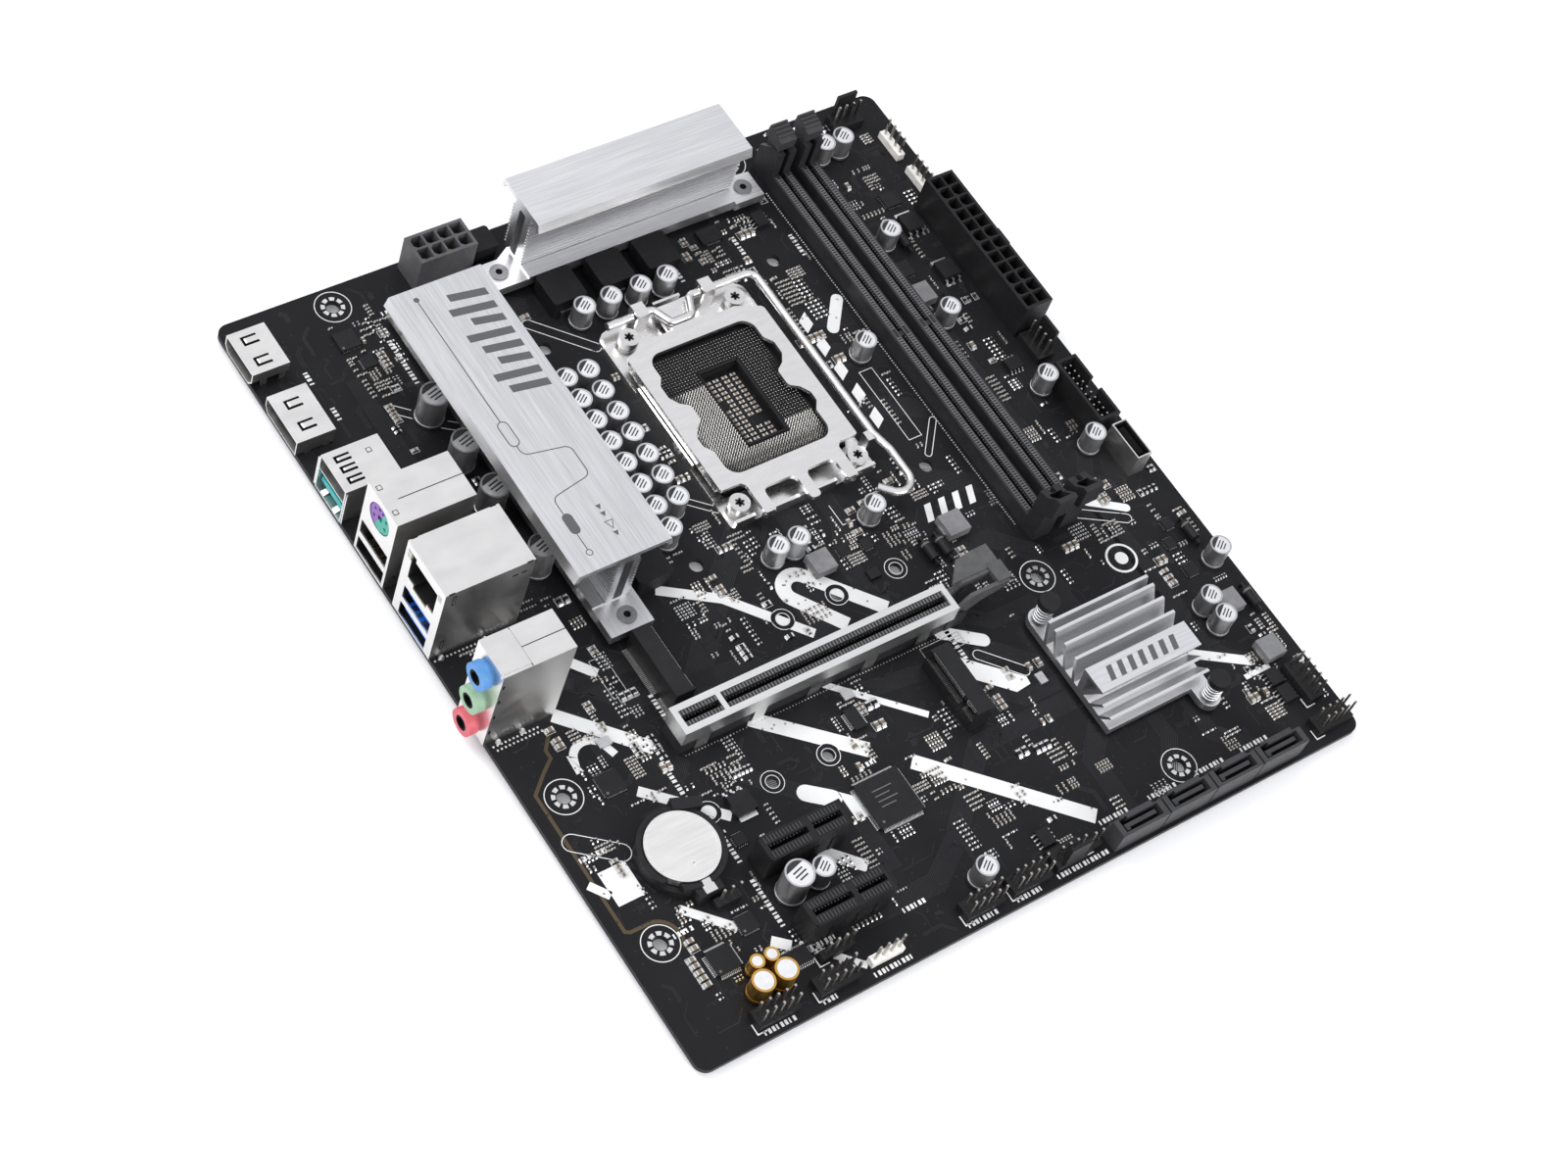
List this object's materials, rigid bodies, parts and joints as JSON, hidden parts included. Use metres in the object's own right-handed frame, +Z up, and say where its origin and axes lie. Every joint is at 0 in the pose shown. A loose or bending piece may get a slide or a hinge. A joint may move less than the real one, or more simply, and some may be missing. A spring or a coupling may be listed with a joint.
{
  "type": "motherboard",
  "caption": "Micro-ATX motherboard with CPU socket, silver heat sinks, memory, graphics and storage sockets and a stack of rear ports; levers and latches move.",
  "frame": {"origin": "axis of the rear middle mounting hole, on the underside of the board", "axes": "+X from the rear ports to the front edge, +Y from the audio edge to the CPU power edge, +Z up out of the component side"},
  "size_m": [0.2254, 0.2438, 0.0367],
  "materials": {
    "pcb": "matt black solder mask",
    "socket_plastic": "fine moulded",
    "contact_gold": "gold plated",
    "bright_steel": "nickel plated, fine brushed",
    "screw_steel": "plated",
    "backplate_steel": "plated sheet",
    "heatsink": "bead-blasted, anodised silver",
    "pad": "soft",
    "choke": "moulded",
    "can": "drawn, smooth",
    "gold_can": "satin",
    "chip": "moulded",
    "black_plastic": "moulded",
    "grey_plastic": "moulded",
    "white_plastic": "moulded",
    "smoke_plastic": "translucent",
    "teal_plastic": "moulded",
    "purple_plastic": "moulded, half purple and half green",
    "blue_plastic": "moulded",
    "pink_plastic": "moulded",
    "green_plastic": "moulded",
    "light_blue_plastic": "moulded",
    "cell": "brushed, slightly worn",
    "grey_ferrite": "pressed powder"
  },
  "bodies": {
    "board": {"pcb": "pcb", "socket_body": "socket_plastic", "socket_contacts": "contact_gold", "socket_frame": "bright_steel", "socket_screws": "screw_steel", "socket_backplate": "backplate_steel", "vrm_heatsink_rear": "heatsink", "vrm_heatsink_top": "heatsink", "heatsink_inserts": "screw_steel", "heatsink_screws": "screw_steel", "vrm_mosfets": "chip", "thermal_pads": "pad", "vrm_chokes": "choke", "capacitors_small": "can", "capacitors_large": "can", "capacitor_seals": "black_plastic", "capacitors_audio": "gold_can", "chipset_package": "chip", "chipset_heatsink": "heatsink", "push_pins": "black_plastic", "push_pin_springs": "screw_steel", "dimm_slot_a": "black_plastic", "dimm_slot_b": "black_plastic", "pcie_x16_slot": "black_plastic", "pcie_x16_shield": "bright_steel", "pcie_x1_slots": "black_plastic", "m2_sockets": "black_plastic", "atx_power_24pin": "black_plastic", "cpu_power_8pin": "grey_plastic", "power_pins": "contact_gold", "sata_ports": "black_plastic", "hdmi_port": "bright_steel", "displayport": "bright_steel", "usb_port_shell": "bright_steel", "usb_port_tongue": "teal_plastic", "ps2_usb_shell": "bright_steel", "ps2_insert": "purple_plastic", "lan_usb_shell": "bright_steel", "usb3_tongues": "blue_plastic", "port_cores": "black_plastic", "audio_jack_housing": "bright_steel", "audio_jack_mic": "pink_plastic", "audio_jack_out": "green_plastic", "audio_jack_in": "light_blue_plastic", "usb3_front_header": "black_plastic", "usbc_front_header": "bright_steel", "pin_header_blocks": "black_plastic", "rgb_headers": "white_plastic", "header_pins": "contact_gold", "battery_holder": "black_plastic", "ic_packages": "chip", "smd_inductors": "grey_ferrite", "power_diodes": "black_plastic", "crystals": "can"},
    "load_lever": {"socket_load_lever": "bright_steel"},
    "load_plate": {"socket_load_plate": "bright_steel"},
    "latch_a": {"dimm_latch_a": "black_plastic"},
    "latch_b": {"dimm_latch_b": "black_plastic"},
    "graphics_latch": {"pcie_x16_latch": "smoke_plastic"},
    "cell": {"coin_cell": "cell"}
  },
  "joints": [
    {"name": "load_lever_turn", "type": "hinge", "parent": "board", "child": "load_lever", "pos_m": [0.08984, 0.11829, 0.0068], "axis": [-1, 0, 0], "range_deg": [0, 120]},
    {"name": "load_plate_turn", "type": "hinge", "parent": "board", "child": "load_plate", "pos_m": [0.08984, 0.11829, 0.0068], "axis": [-1, 0, 0], "range_deg": [0, 96]},
    {"name": "latch_a_turn", "type": "hinge", "parent": "board", "child": "latch_a", "pos_m": [0.16364, 0.15049, 0.0056], "axis": [-1, 0, 0], "range_deg": [0, 26]},
    {"name": "latch_b_turn", "type": "hinge", "parent": "board", "child": "latch_b", "pos_m": [0.17324, 0.15049, 0.0056], "axis": [-1, 0, 0], "range_deg": [0, 26]},
    {"name": "graphics_latch_turn", "type": "hinge", "parent": "board", "child": "graphics_latch", "pos_m": [0.12484, 0.00259, 0.0046], "axis": [0, 1, 0], "range_deg": [0, 16]},
    {"name": "cell_lift", "type": "slide", "parent": "board", "child": "cell", "axis": [0, 0, 1], "range_m": [0, 0.015]}
  ],
  "couplings": [
    {"joint": "load_plate_turn", "follows": "load_lever_turn", "ratio": 0.8}
  ]
}
